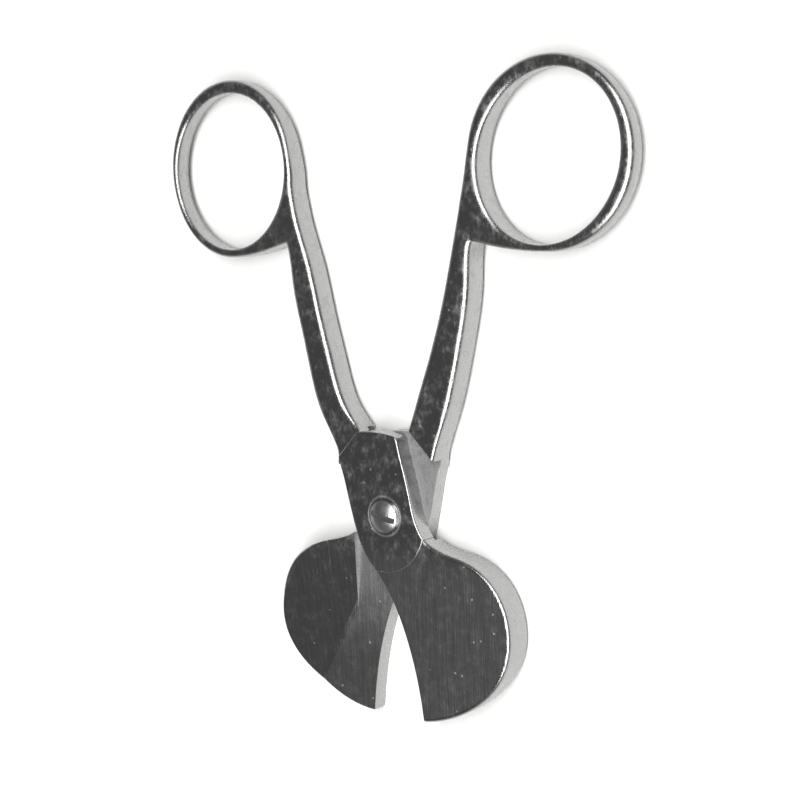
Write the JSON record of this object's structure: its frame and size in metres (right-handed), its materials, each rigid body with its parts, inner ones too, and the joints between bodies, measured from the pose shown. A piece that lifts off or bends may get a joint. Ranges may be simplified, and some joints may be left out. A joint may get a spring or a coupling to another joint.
{
  "type": "wick trimmer",
  "caption": "Ring-handled steel scissors with broad half-moon blades, used to trim wicks; two forged halves lapped on a slotted pivot screw.",
  "frame": {"origin": "on the pivot axis, in the plane of the tool's flat back (the outer face of the rear boss and the flush end of the screw)", "axes": "+Z along the pivot axis out of the screw head, +Y from the pivot towards the finger rings, midway between the two shanks as drawn"},
  "size_m": [0.0895, 0.1019, 0.0066],
  "materials": {
    "forged_steel": "polished stainless steel, blades finely ground",
    "screw_steel": "bright turned stainless steel"
  },
  "bodies": {
    "rear": {"rear_half": "forged_steel", "pivot_screw": "screw_steel"},
    "front": {"front_half": "forged_steel"}
  },
  "joints": [
    {"name": "pivot", "type": "hinge", "parent": "rear", "child": "front", "pos_m": [0, 0, 0.0027], "axis": [0, 0, 1], "range_deg": [-24, 34]}
  ]
}
